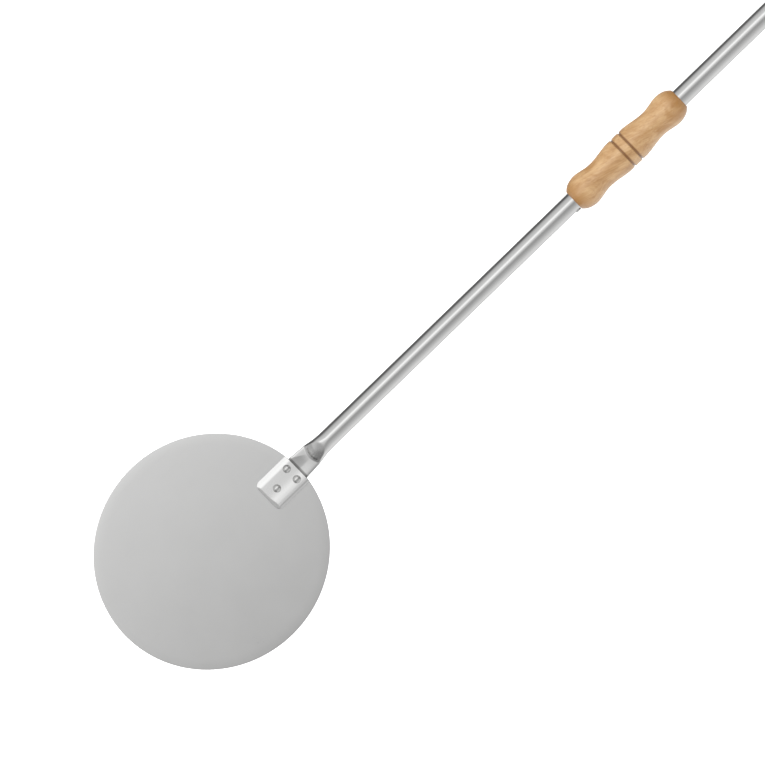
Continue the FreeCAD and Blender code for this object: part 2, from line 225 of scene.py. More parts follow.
class Nodes:
    """Short names for building a material's node tree."""

    def __init__(self, name):
        self.material = bpy.data.materials.new(name)
        self.material.use_nodes = True
        self.tree = self.material.node_tree
        self.shader = self.tree.nodes["Principled BSDF"]

    def add(self, kind, **inputs):
        node = self.tree.nodes.new(kind)
        for key, value in inputs.items():
            node.inputs[key.replace("_", " ")].default_value = value
        return node

    def link(self, source, target):
        self.tree.links.new(source, target)

    def coordinates(self, scale, location=(0, 0, 0)):
        """Object coordinates, stretched so that detail follows the piece."""
        place = self.add("ShaderNodeTexCoord")
        mapping = self.add("ShaderNodeMapping", Scale=scale, Location=location)
        self.link(place.outputs["Object"], mapping.inputs["Vector"])
        return mapping.outputs["Vector"]

    def noise(self, vector, scale, detail=4.0, roughness=0.55, distortion=0.0):
        node = self.add("ShaderNodeTexNoise", Scale=scale, Detail=detail, Roughness=roughness,
                        Distortion=distortion)
        self.link(vector, node.inputs["Vector"])
        return node.outputs["Fac"]

    def ramp(self, value, stops, smooth=False):
        """Colour ramp; each stop is (position, colour) or (position, grey value)."""
        node = self.add("ShaderNodeValToRGB")
        ramp = node.color_ramp
        ramp.interpolation = "EASE" if smooth else "LINEAR"
        while len(ramp.elements) < len(stops):
            ramp.elements.new(0.5)
        for element, (position, colour) in zip(ramp.elements, stops):
            element.position = position
            if not isinstance(colour, tuple):
                colour = (colour, colour, colour)
            element.color = (*colour, 1.0)
        self.link(value, node.inputs["Fac"])
        return node.outputs["Color"]

    def math(self, operation, first, second=None):
        node = self.add("ShaderNodeMath")
        node.operation = operation
        for socket, value in zip(node.inputs, (first, second)):
            if value is None:
                continue
            if isinstance(value, (int, float)):
                socket.default_value = value
            else:
                self.link(value, socket)
        return node.outputs["Value"]

    def mix(self, share, first, second):
        node = self.add("ShaderNodeMix")
        node.data_type = "RGBA"
        for socket, value in ((node.inputs[0], share), (node.inputs[6], first), (node.inputs[7], second)):
            if isinstance(value, (int, float)):
                socket.default_value = value
            elif isinstance(value, tuple):
                socket.default_value = (*value, 1.0)
            else:
                self.link(value, socket)
        return node.outputs[2]

    def bump(self, height, strength, distance, below=None):
        node = self.add("ShaderNodeBump", Strength=strength, Distance=distance)
        self.link(height, node.inputs["Height"])
        if below is not None:
            self.link(below, node.inputs["Normal"])
        return node.outputs["Normal"]


def steel(name, colour, roughness, grain_scale, grain_strength, scratch_scale, wear=0.05, plate_shade_band=None):
    """Steel: fine drawn or rolled grain, thin scratches, faint cloudy wear.

    A shade band (start along X, width) darkens the steel with painted shade: the plate's shadow in the gap
    behind its back edge.
    """
    n = Nodes(name)
    n.shader.inputs["Metallic"].default_value = 1.0
    clouds = n.noise(n.coordinates((1, 1, 1)), 22.0, detail=5.0)
    dark = tuple(c * (1 - wear) for c in colour)
    light = tuple(min(1.0, c * (1 + wear)) for c in colour)
    tone = n.ramp(clouds, [(0.30, dark), (0.70, light)])
    # painted shade: a dark band on the tube just behind the plate's back edge, where the plate shades it
    if plate_shade_band is not None:
        split = n.add("ShaderNodeSeparateXYZ")
        n.link(n.coordinates((1, 1, 1)), split.inputs["Vector"])
        start, width = plate_shade_band
        into = n.math("DIVIDE", n.math("SUBTRACT", split.outputs["X"], start), width)
        painted_shade = n.ramp(into, [(0.0, 0.80), (0.55, 0.62), (1.0, 0.0)], smooth=True)
        tone = n.mix(painted_shade, tone, CREVICE_PAINTED_SHADE)
    n.link(tone, n.shader.inputs["Base Color"])
    grain = n.noise(n.coordinates(grain_scale), 1.0, detail=3.0, roughness=0.6)
    scratches = n.noise(n.coordinates(scratch_scale, location=(3.1, 1.7, 0.4)), 1.0, detail=1.0)
    scratch_lines = n.ramp(scratches, [(0.66, 0.0), (0.72, 1.0)])
    low, high = roughness
    rough = n.ramp(n.mix(0.35, clouds, grain), [(0.30, low), (0.70, high)])
    rough = n.mix(scratch_lines, rough, (high * 1.25,) * 3)
    n.link(rough, n.shader.inputs["Roughness"])
    fine = n.bump(grain, grain_strength, 0.00002)
    n.link(n.bump(scratch_lines, grain_strength * 0.6, 0.00001, below=fine), n.shader.inputs["Normal"])
    return n.material


def beech(name, start, end, grooves, groove_shade_radius):
    """Lacquered beech: mottled warm tone, oblique fibres and flecks, darker ends, and painted shade across
    the grooves.
    """
    n = Nodes(name)
    middle = (start + end) / 2
    half = (end - start) / 2
    centre = along_tube(middle)
    shift = n.add("ShaderNodeMapping", Location=(-centre.x, -centre.y, -centre.z), Rotation=(0.0, 0.10, 0.28))
    place = n.add("ShaderNodeTexCoord").outputs["Object"]
    n.link(place, shift.inputs["Vector"])
    slanted = shift.outputs["Vector"]

    def stretched(scale, location=(0.0, 0.0, 0.0)):
        mapping = n.add("ShaderNodeMapping", Scale=scale, Location=location)
        n.link(slanted, mapping.inputs["Vector"])
        return mapping.outputs["Vector"]

    fibres = n.noise(stretched((45, 900, 900)), 1.0, detail=3.0)
    fleck_noise = n.noise(stretched((170, 1500, 1500), (2.0, 5.0, 1.0)), 1.0, detail=1.0)
    flecks = n.ramp(fleck_noise, [(0.60, 0.0), (0.68, 1.0)])
    mottle = n.noise(stretched((45, 85, 85), (0.3, 0.1, 0.7)), 1.0, detail=4.0, roughness=0.6, distortion=0.8)
    bands = n.noise(stretched((14, 150, 150), (0.9, 0.4, 0.2)), 1.0, detail=2.0, distortion=0.6)
    tone = n.mix(0.42, mottle, bands)
    tone = n.mix(0.26, tone, fibres)
    colour = n.ramp(tone, [(0.36, WOOD_DARK), (0.47, WOOD_MIDDLE), (0.60, WOOD_LIGHT)])
    colour = n.mix(n.math("MULTIPLY", flecks, 0.40), colour, WOOD_FLECK)
    amber = n.noise(stretched((30, 55, 55), (5.2, 3.3, 1.9)), 1.0, detail=3.0, distortion=1.2)
    colour = n.mix(n.ramp(amber, [(0.54, 0.0), (0.68, 0.65)]), colour, WOOD_AMBER)
    # the turned ends drink more stain; the grooves get painted shade across their width
    level = n.add("ShaderNodeMapping", Location=(-centre.x, -centre.y, -centre.z))
    n.link(place, level.inputs["Vector"])
    split = n.add("ShaderNodeSeparateXYZ")
    n.link(level.outputs["Vector"], split.inputs["Vector"])
    from_middle = n.math("ABSOLUTE", split.outputs["X"])
    end_reach = 15.0 * MM
    end_share = n.math("DIVIDE", n.math("SUBTRACT", from_middle, half - end_reach), end_reach)
    uneven = n.math("ADD", end_share, n.math("MULTIPLY", n.math("SUBTRACT", mottle, 0.5), 0.7))
    dark = n.ramp(uneven, [(0.0, 0.05), (0.45, 0.55), (0.85, 0.88), (1.0, 0.95)])
    colour = n.mix(dark, colour, WOOD_AMBER)
    rim = n.ramp(end_share, [(0.90, 0.0), (1.0, 0.75)])
    colour = n.mix(rim, colour, WOOD_FLECK)
    # painted shade: each groove is darkened across its width, as if shaded
    for groove in grooves:
        off = n.math("ABSOLUTE", n.math("SUBTRACT", split.outputs["X"], groove - middle))
        groove_shade = n.ramp(n.math("DIVIDE", off, groove_shade_radius), [(0.30, 0.88), (1.0, 0.0)])
        colour = n.mix(groove_shade, colour, WOOD_GROOVE_SHADE)
    n.link(colour, n.shader.inputs["Base Color"])
    n.link(n.ramp(fibres, [(0.3, 0.34), (0.7, 0.46)]), n.shader.inputs["Roughness"])
    n.shader.inputs["Coat Weight"].default_value = 0.85
    n.shader.inputs["Coat IOR"].default_value = 1.62
    n.shader.inputs["Coat Roughness"].default_value = 0.12
    n.shader.inputs["IOR"].default_value = 1.48
    grain_bump = n.bump(fibres, 0.35, 0.00006)
    n.link(n.bump(flecks, 0.30, -0.00004, below=grain_bump), n.shader.inputs["Normal"])
    return n.material


def dull_plastic(name, colour):
    """Moulded sleeve: fine spark-eroded texture and faint rubbing marks."""
    n = Nodes(name)
    speckle = n.noise(n.coordinates((1, 1, 1)), 2500.0, detail=2.0)
    rubbed = n.noise(n.coordinates((20, 300, 300)), 1.0, detail=2.0)
    light = tuple(min(1.0, c * 1.6) for c in colour)
    n.link(n.ramp(rubbed, [(0.35, colour), (0.75, light)]), n.shader.inputs["Base Color"])
    n.link(n.ramp(speckle, [(0.3, 0.45), (0.7, 0.65)]), n.shader.inputs["Roughness"])
    n.link(n.bump(speckle, 0.4, 0.00003), n.shader.inputs["Normal"])
    return n.material


# ---------------------------------------------------------------- blade
def build_blade(material):
    """Oval sheet with rounded rims, its top falling slightly towards the rim."""
    low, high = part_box("blade")
    trim = 0.02 * MM
    half_x, half_y = (high.x - low.x) / 2 - trim, (high.y - low.y) / 2 - trim
    around = 384
    rim_round = 0.3 * MM
    fall_width, fall = 10.0 * MM, 0.16 * MM
    profile = []                                   # (inset from the rim, height)
    inner = [1.0, 0.9, 0.75, 0.6, 0.45, 0.3, 0.2]  # share of the way from rim to centre
    reach = half_y - 1.0 * MM
    profile += [(share * reach, 0.0) for share in inner]
    profile += [(fall_width, 0.0), (2 * MM, 0.0)]
    rim_top = SHEET - fall
    quarter_turn = [math.pi / 2 * k / 6 for k in range(7)]
    profile += [(rim_round * (1 - math.sin(turn)), rim_round * (1 - math.cos(turn))) for turn in quarter_turn]
    profile += [(rim_round * (1 - math.cos(turn)), rim_top - rim_round * (1 - math.sin(turn)))
                for turn in quarter_turn]
    for k in range(1, 13):
        share = k / 12
        inset = rim_round + (fall_width - rim_round) * share
        profile.append((inset, SHEET - fall * (1 - share) ** 2))
    profile += [(share * reach, SHEET) for share in reversed(inner)]
    points = []
    faces = []
    for inset, height in profile:
        for k in range(around):
            turn = 2 * math.pi * k / around
            points.append(((half_x - inset) * math.cos(turn), (half_y - inset) * math.sin(turn),
                           low.z + height))
    for row in range(len(profile) - 1):
        faces += ring_faces(row * around, (row + 1) * around, around)
    faces.append(tuple(range(around)))
    faces.append(tuple(range((len(profile) - 1) * around, len(profile) * around)))
    blade = make_object("blade_sheet", points, faces)
    cut_with(blade, [rivet_hole_cutter(place) for place in ("left", "right", "tip")])
    finish_piece(blade, "shaft", ["blade"], material)


# ---------------------------------------------------------------- rivets of the head
RIVET_TAIL_RADIUS = 2.8 * MM
RIVET_TAIL_DEPTH = 0.7 * MM
RIVET_SHANK_RADIUS = 2.0 * MM


def rivet_place(place):
    low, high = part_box("head_rivet_" + place)
    centre = (low + high) / 2
    return lambda height, side, forward: Vector((centre.x + forward, centre.y + side, height))


def rivet_hole_cutter(place):
    """Countersunk hole in the blade, a hair wider than the rivet."""
    gap = 0.04 * MM
    profile = [(-1.0 * MM, 0.0), (-1.0 * MM, RIVET_TAIL_RADIUS + gap), (0.0, RIVET_TAIL_RADIUS + gap),
               (RIVET_TAIL_DEPTH, RIVET_SHANK_RADIUS + gap), (2.0 * MM, RIVET_SHANK_RADIUS + gap),
               (2.0 * MM, 0.0)]
    return lathe("cutter_" + place, profile, rivet_place(place), around=64)


def build_head_rivet(place, material):
    """Domed head with a small pressed flat on top, shank, and a flush peened tail."""
    low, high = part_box("head_rivet_" + place)
    centre = (low + high) / 2
    base = plate_top_height(centre.x, centre.y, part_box("cover_plate")[0].x) - 0.30 * MM
    radius = (high.x - low.x) / 2
    height = high.z - base
    edge = 0.55 * MM
    ball = (radius ** 2 + (height - edge) ** 2) / (2 * (height - edge))
    profile = [(0.03 * MM, 0.0), (0.03 * MM, 1.2 * MM), (0.0, 1.9 * MM), (0.0, RIVET_TAIL_RADIUS - 0.15 * MM),
               (0.1 * MM, RIVET_TAIL_RADIUS), (RIVET_TAIL_DEPTH, RIVET_SHANK_RADIUS),
               (base - 0.05 * MM, RIVET_SHANK_RADIUS), (base - 0.05 * MM, radius - 0.15 * MM),
               (base + 0.10 * MM, radius)]
    for k in range(17):
        share = k / 17
        r = radius * math.cos(math.pi / 2 * share)
        rise = edge + math.sqrt(ball ** 2 - r ** 2) - (ball - (height - edge))
        profile.append((base + min(rise, height - 0.02 * MM * share), r))
    profile.append((base + height - 0.03 * MM, 0.0))
    rivet = lathe("rivet_" + place, profile, rivet_place(place), around=72)
    finish_piece(rivet, "shaft", ["head_rivet_" + place], material)


# ---------------------------------------------------------------- cover plate
PLATE_CORNER_ROUND = 6.0 * MM
PLATE_CORNER_TIGHTENING = 0.8     # how much the corner radius shrinks with the inset
PLATE_CORNER_LEAST = 0.6 * MM


def plate_loop(inset, front, back, half):
    """Points of the plate's open outline, moved inwards: along one side, round the front, back."""
    side_steps, corner_steps, front_steps = 60, 20, 30
    radius = max(PLATE_CORNER_ROUND - PLATE_CORNER_TIGHTENING * inset, PLATE_CORNER_LEAST)
    edge = half - inset
    radius = min(radius, edge)
    start = front + inset
    points = [Vector((back + (start + radius - back) * k / side_steps, edge)) for k in range(side_steps)]
    for k in range(corner_steps):
        turn = math.pi / 2 * k / corner_steps
        points.append(Vector((start + radius - radius * math.sin(turn),
                              edge - radius + radius * math.cos(turn))))
    for k in range(front_steps + 1):
        points.append(Vector((start, (edge - radius) * (1 - 2 * k / front_steps))))
    mirrored = [Vector((point.x, -point.y)) for point in reversed(points[:side_steps + corner_steps])]
    return points + mirrored


PLATE_EDGE_TOP = 1.85 * MM        # the cut edge's upper side, on the left and in front
PLATE_FRONT_RUN = 5.0 * MM
PLATE_FRONT_TOP = 4.3 * MM        # where the front slope would end, just over the top
PLATE_BEND = 0.35 * MM            # how softly the front slope meets the top
PLATE_THICK = 1.06 * SHEET        # straight down through its slopes
TONGUE_BELOW_TOP = 1.08 * SHEET   # from the plate's top down to the tongue, a hair more
# height of the plate's top across it: (distance to the left of the axis, height), in mm
PLATE_SECTION = [
    (-17.3, 2.75), (-16.4, 3.20), (-15.6, 3.62), (-14.8, 3.88), (-13.5, 3.98), (-11.8, 4.00), (-10.5, 3.95),
    (-8.5, 3.82), (-5.5, 3.56), (-3.0, 3.40), (0.0, 3.32), (4.0, 3.29), (9.0, 3.25), (10.6, 3.20),
    (12.0, 3.02), (14.5, 2.50), (16.5, 2.03), (17.3, 1.85),
]


def smooth_step(share):
    share = min(1.0, max(0.0, share))
    return share * share * (3 - 2 * share)


SECTION_CURVE = smooth_profile(PLATE_SECTION, 400)
SECTION_Y = [y for y, _ in SECTION_CURVE]
SECTION_Z = [z for _, z in SECTION_CURVE]


def plate_top_height(x, y, front):
    """Height of the pressed plate: a dished top, shoulders at both sides and a slope in front."""
    across = float(np.interp(y / MM, SECTION_Y, SECTION_Z)) * MM
    rise = min(1.0, max(0.0, (x - front) / PLATE_FRONT_RUN))
    ahead = PLATE_EDGE_TOP + (PLATE_FRONT_TOP - PLATE_EDGE_TOP) * rise
    gap = max(PLATE_BEND - abs(across - ahead), 0.0) / PLATE_BEND
    return min(across, ahead) - gap * gap * PLATE_BEND / 4


def build_cover_plate(material):
    low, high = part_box("cover_plate")
    front, back = low.x, high.x
    half = (high.y - low.y) / 2
    inset_steps = [0.0, 0.06 * MM, 0.2 * MM] + [0.4 * MM + 0.3 * MM * k for k in range(56)]
    inset_steps = [inset for inset in inset_steps if inset < half - 0.25 * MM]
    edge_round = {0.0: 0.22 * MM, 0.06 * MM: 0.08 * MM}
    foot = 0.3 * MM                                # stands on the blade
    top = []
    under = []
    loops = [plate_loop(inset, front, back, half) for inset in inset_steps]
    for inset, loop in zip(inset_steps, loops):
        for point in loop:
            height = plate_top_height(point.x, point.y, front)
            floor = max(low.z, height - PLATE_THICK)
            if inset < foot:
                floor = low.z
            top.append((point.x, point.y, height - edge_round.get(inset, 0.0)))
            under.append((point.x, point.y, floor))
    count = len(loops[0])
    points = top + under
    offset = len(top)
    faces = []
    for row in range(len(loops) - 1):
        faces += ring_faces(row * count, (row + 1) * count, count, closed=False)
        faces += ring_faces(offset + (row + 1) * count, offset + row * count, count, closed=False)
    last = (len(loops) - 1) * count
    half_count = count // 2
    for k in range(half_count):
        a, b = last + k, last + k + 1
        c, d = last + count - 2 - k, last + count - 1 - k
        if b < c:
            faces.append((a, b, c, d))
            faces.append((offset + d, offset + c, offset + b, offset + a))
        elif b == c:
            faces.append((a, b, d))
            faces.append((offset + d, offset + b, offset + a))
    faces += [(k, offset + k, offset + k + 1, k + 1) for k in range(count - 1)]
    for row in range(len(loops) - 1):
        for k in (0, count - 1):
            a, b = row * count + k, (row + 1) * count + k
            faces.append((a, b, offset + b, offset + a))
    faces.append((last, last + count - 1, offset + last + count - 1, offset + last))
    plate = make_object("cover_plate_pressed", points, faces, sharp_degrees=50)
    finish_piece(plate, "shaft", ["cover_plate"], material)


# ---------------------------------------------------------------- tube
TONGUE_HALF_THICK = 1.0 * MM
TONGUE_TIP_ROUND = 6.0 * MM
# half width of the tongue and the nose, in mm, by the distance along the handle
TAPER = [(100.0, 12.8), (117.0, 12.8), (119.0, 12.78), (123.5, 12.42), (129.3, 11.88), (135.2, 11.25),
         (141.0, 10.50), (146.8, 9.93), (152.0, 9.64), (158.3, 9.5), (165.0, 9.5)]
TAPER_X = [x for x, _ in smooth_profile(TAPER, 300)]
TAPER_HALF = [half for _, half in smooth_profile(TAPER, 300)]
NOSE_START = AXIS_POINT.x
NOSE_LENGTH = 27.0 * MM
NOSE_RISE = TUBE_RADIUS - TONGUE_HALF_THICK
# the share of its full height that the swelling nose has reached, along its length
NOSE_SWELL = [(0.0, 0.0), (0.04, 0.035), (0.12, 0.155), (0.24, 0.345), (0.36, 0.535), (0.44, 0.645),
              (0.52, 0.74), (0.61, 0.825), (0.71, 0.895), (0.82, 0.952), (0.92, 0.987), (1.0, 1.0)]
SWELL_CURVE = smooth_profile(NOSE_SWELL + [(1.1, 1.0)], 300)
SWELL_X = [x for x, _ in SWELL_CURVE]
SWELL_Z = [z for _, z in SWELL_CURVE]
# the press left the tongue's left half dished, along a crease from the plate's corner
CREASE_START = (117.7 * MM, 12.2 * MM)
CREASE_END = (132.5 * MM, 3.6 * MM)
DISH_DEPTH = 1.15 * MM
DISH_BOTTOM = -1.5 * MM           # where across the tongue the dish is deepest
DISH_SHALLOWING = 0.55            # share of the depth lost towards the crease's end
DISH_RISE = 0.30                  # how far the right side comes back up, and over what width
DISH_RISE_WIDTH = 11.5 * MM
DISH_FADE = (-7 * MM, 10 * MM)    # where it starts to fade, from the nose's start, and how long
NOSE_ARC = 30.0                   # how far the crease bends back at its sides, per metre squared
NOSE_ARC_LEAD = 10 * MM           # the rows start to bend this far ahead of the nose
ROUND_SECTION = 2                 # exponent of an elliptical section
FLAT_SECTION_EXTRA = 10.7         # added to it at the flat tongue
SIDE_CROWDING = 0.9               # below 1, the points round the tube lie closer at its sides


def tongue_half_width(x, tip):
    half = float(np.interp(x / MM, TAPER_X, TAPER_HALF)) * MM
    into_tip = tip + TONGUE_TIP_ROUND - x
    if into_tip > 0:
        half -= TONGUE_TIP_ROUND - math.sqrt(max(0.0, TONGUE_TIP_ROUND ** 2 - into_tip ** 2))
    return half


def tongue_dish(x, y):
    """How far the tongue's top lies below its full height."""
    along = (x - CREASE_START[0]) / (CREASE_END[0] - CREASE_START[0])
    crease = CREASE_START[1] + (CREASE_END[1] - CREASE_START[1]) * max(0.0, along)
    depth = DISH_DEPTH * (1 - DISH_SHALLOWING * smooth_step(along * 0.9))
    fall = min(1.0, max(0.0, (crease - y) / (crease - DISH_BOTTOM)))
    fall = fall * (1.35 - 0.35 * fall)
    back_up = DISH_RISE * smooth_step((DISH_BOTTOM + 1.5 * MM - y) / DISH_RISE_WIDTH)
    fade = 1 - smooth_step((x - NOSE_START - DISH_FADE[0]) / DISH_FADE[1])
    return depth * (fall - back_up) * fade


def section_height(y, half_width, half_height, flatness):
    """Half height of the flattened tube's section; a higher flatness gives a flatter top."""
    across = min(1.0, abs(y) / half_width)
    return half_height * (1 - across ** flatness) ** 0.5


def tube_front_ring(station, tip, plate):
    """Points round the flattened tube or its nose; rows bend back along the arc of the crease."""
    front, back = plate
    bend_run = NOSE_ARC_LEAD if station < NOSE_START else NOSE_LENGTH
    bend = smooth_step(1 - abs(station - NOSE_START) / bend_run)
    share = min(1.0, max(0.0, (station - NOSE_START) / NOSE_LENGTH))
    full = TONGUE_HALF_THICK + NOSE_RISE * float(np.interp(share, SWELL_X, SWELL_Z))
    flatness = ROUND_SECTION + FLAT_SECTION_EXTRA * (1 - share) ** 2
    half = tongue_half_width(station, tip)
    points = []
    for k in range(AROUND):
        turn = 2 * math.pi * k / AROUND
        y = half * math.copysign(abs(math.cos(turn)) ** SIDE_CROWDING, math.cos(turn))
        x = station + bend * NOSE_ARC * y * y
        height = section_height(y, half, full, flatness)
        upper = math.sin(turn) >= 0
        z = full - TUBE_RADIUS + (height if upper else -height)
        if upper:
            z -= tongue_dish(x, y) * min(1.0, height / (0.7 * MM))
        if upper and x < back:
            under_plate = plate_top_height(x, y, front) - TONGUE_BELOW_TOP - AXIS_POINT.z
            z = min(z, max(under_plate, -TUBE_RADIUS + 0.1 * MM))
        points.append(Vector((x, y, AXIS_POINT.z + z)) if x <= NOSE_START else along_tube(x, y, z))
    return points


def build_tube(material):
    low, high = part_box("tube")
    tip = low.x
    end = AXIS_POINT.x + (high.x - AXIS_POINT.x) / RISE_COS
    nose_end = AXIS_POINT.x + NOSE_LENGTH
    stations = [tip + 0.02 * MM, tip + 0.3 * MM, tip + 1.0 * MM, tip + 2.5 * MM, tip + 4.5 * MM]
    plate_low, plate_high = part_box("cover_plate")
    stations += list(np.arange(tip + 7 * MM, plate_high.x - 0.4 * MM, 1.5 * MM))
    stations += list(np.arange(plate_high.x, nose_end, 0.35 * MM))
    points = []
    for station in stations:
        points += tube_front_ring(station, tip, (plate_low.x, plate_high.x))
    rows = len(stations)
    wall = TUBE_RADIUS - TUBE_WALL
    round_part = [(u, TUBE_RADIUS) for u in np.linspace(nose_end, end - 0.2 * MM, 41)]
    round_part += [(end, TUBE_RADIUS - 0.2 * MM), (end, wall)]
    round_part += [(u, wall) for u in np.linspace(end - 10 * MM, nose_end, 20)]
    for u, radius in round_part:
        for k in range(AROUND):
            turn = 2 * math.pi * k / AROUND
            side = math.copysign(abs(math.cos(turn)) ** SIDE_CROWDING, math.cos(turn))
            up = math.copysign(math.sqrt(1 - side * side), math.sin(turn))
            points.append(along_tube(u, radius * side, radius * up))
    rows += len(round_part)
    faces = []
    for row in range(rows - 1):
        faces += ring_faces(row * AROUND, (row + 1) * AROUND, AROUND)
    last = (rows - 1) * AROUND
    inner_tip = len(points)
    points.append(along_tube(nose_end - 8 * MM))
    faces += [(inner_tip, last + k, last + (k + 1) % AROUND) for k in range(AROUND)]
    faces.append(tuple(range(AROUND)))
    tube = make_object("tube_with_tongue", points, faces, sharp_degrees=60)
    finish_piece(tube, "shaft", ["tube"], material)


# ---------------------------------------------------------------- stop rivet
def build_stop_rivet(material):
    """Blind rivet in the tube's side, with the broken stem showing in its head."""
    low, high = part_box("stop_rivet_body")
    centre = (low + high) / 2
    radius = (high.x - low.x) / 2
    tip = low.y                                    # outermost point of the head
    hole = 1.1 * MM
    blind_radius = 2.6 * MM
    shank = 2.0 * MM
    seat = -(TUBE_RADIUS - 0.45 * MM)
    inside = -(TUBE_RADIUS - TUBE_WALL - 0.5 * MM)

    def place(y, across, up):
        return Vector((centre.x + across, y, centre.z + up))

    profile = [(tip + 0.12 * MM, hole), (tip, hole + 0.25 * MM)]
    height = seat - tip - 0.35 * MM
    for k in range(1, 13):
        turn = math.pi / 2 * k / 12
        r = hole + 0.25 * MM + (radius - hole - 0.25 * MM) * math.sin(turn)
        profile.append((tip + height * (1 - math.cos(turn)), r))
    profile += [(seat - 0.1 * MM, radius), (seat, radius - 0.1 * MM), (seat, shank),
                (inside, shank), (inside, blind_radius - 0.3 * MM), (inside + 0.5 * MM, blind_radius),
                (high.y - 0.8 * MM, blind_radius), (high.y, blind_radius - 0.9 * MM), (high.y, hole)]
    body = lathe("stop_rivet_shell", profile, place, closed=True, around=64)
    finish_piece(body, "shaft", ["stop_rivet_body"], material)

    low_stem, high_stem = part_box("stop_rivet_mandrel")
    stem_radius = 1.08 * MM
    stem = [(low_stem.y + 0.10 * MM, 0.0), (low_stem.y, 0.35 * MM), (low_stem.y + 0.15 * MM, 0.8 * MM),
            (low_stem.y + 0.35 * MM, stem_radius), (high_stem.y - 0.4 * MM, stem_radius),
            (high_stem.y, stem_radius - 0.4 * MM), (high_stem.y, 0.0)]
    mandrel = lathe("stop_rivet_stem", stem, place, around=32)
    finish_piece(mandrel, "shaft", ["stop_rivet_mandrel"], material)


# ---------------------------------------------------------------- grips
BORE_RADIUS = 10.5 * MM
END_RADIUS = 11.06 * MM
REAR_BORE_RADIUS = 9.6 * MM
BORE_LIP = 0.15 * MM
BULB_FROM_END = 14.2 * MM
BULB_RADIUS = 17.6 * MM
WAIST_FROM_END = 31.8 * MM
GROOVE_FROM_MIDDLE = 5.1 * MM
GROOVE_HALF_WIDTH = 1.45 * MM
GROOVE_DEPTH = 1.2 * MM
# how far the painted groove shade reaches from each groove's middle
GROOVE_SHADE_RADIUS = 1.9 * MM


def bulb_points():
    """Profile from a grip's front end to the crown of its bulb."""
    rise = BULB_RADIUS - END_RADIUS
    return [(0.0, END_RADIUS), (BULB_FROM_END * 0.30, END_RADIUS + rise * 0.56),
            (BULB_FROM_END * 0.60, END_RADIUS + rise * 0.84), (BULB_FROM_END, BULB_RADIUS)]


def v_groove(profile, middle):
    """Press a V groove with a softly rounded lip into a profile of (along, radius)."""
    result = [point for point in profile if abs(point[0] - middle) > GROOVE_HALF_WIDTH + 0.5 * MM]
    radius = float(np.interp(middle, [p[0] for p in profile], [p[1] for p in profile]))
    shape = [(-1.15, 0.0), (-1.0, 0.05), (-0.84, 0.18), (-0.40, 0.78), (-0.20, 0.95), (0.0, 1.0),
             (0.20, 0.95), (0.40, 0.78), (0.84, 0.18), (1.0, 0.05), (1.15, 0.0)]
    result += [(middle + GROOVE_HALF_WIDTH * across, radius - GROOVE_DEPTH * down) for across, down in shape]
    return sorted(result)


def build_sliding_grip():
    start, end = tube_reach("sliding_grip", END_RADIUS)
    half = (end - start) / 2
    waist, belly = 15.15 * MM, 17.85 * MM
    curve = smooth_profile(bulb_points() + [(WAIST_FROM_END, waist), (half - 11 * MM, belly),
                                            (half, belly)], 120)
    curve = [(x, min(r, belly)) for x, r in curve if x <= half]
    whole = curve + [(2 * half - x, r) for x, r in reversed(curve[:-1])]
    for side in (-1, 1):
        whole = v_groove(whole, half + side * GROOVE_FROM_MIDDLE)
    profile = [(start + BORE_LIP, BORE_RADIUS), (start, BORE_RADIUS + BORE_LIP)]
    profile += [(start + x, r) for x, r in whole]
    profile += [(end, BORE_RADIUS + BORE_LIP), (end - BORE_LIP, BORE_RADIUS)]
    profile += [(u, BORE_RADIUS) for u in np.linspace(end - 10 * MM, start + 10 * MM, 8)]
    grip = lathe("sliding_grip_wood", profile, along_tube, closed=True, around=192)
    grooves = [start + half + side * GROOVE_FROM_MIDDLE for side in (-1, 1)]
    material = beech("beech_sliding_grip", start, end, grooves, GROOVE_SHADE_RADIUS)
    finish_piece(grip, "grip", ["sliding_grip"], material)


def build_liner(material):
    radius = 10.4 * MM
    bore = 9.6 * MM
    start, end = tube_reach("grip_liner", radius)
    edge = 0.15 * MM
    profile = [(start, bore + edge), (start, radius - edge), (start + edge, radius)]
    profile += [(u, radius) for u in np.linspace(start + 10 * MM, end - 10 * MM, 8)]
    profile += [(end - edge, radius), (end, radius - edge), (end, bore + edge), (end - edge, bore)]
    profile += [(u, bore) for u in np.linspace(end - 10 * MM, start + 10 * MM, 8)]
    profile += [(start + edge, bore)]
    liner = lathe("grip_liner_sleeve", profile, along_tube, closed=True)
    finish_piece(liner, "liner", ["grip_liner"], material)


SCREW_FROM_FRONT = 32.0 * MM
SCREW_HEAD_RADIUS = 3.2 * MM
SCREW_SEAT = 14.0 * MM            # the seat's floor, out from the tube's axis
REAR_GRIP_LENGTH = 132.0 * MM
EYE_THREAD_DEPTH = 18 * MM


def rear_grip_reach():
    """The rear grip's front and rear faces have different radii, so its reach has its own sum."""
    low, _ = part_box("rear_grip")
    start = AXIS_POINT.x + (low.x + END_RADIUS * RISE_SIN - AXIS_POINT.x) / RISE_COS
    return start, start + REAR_GRIP_LENGTH


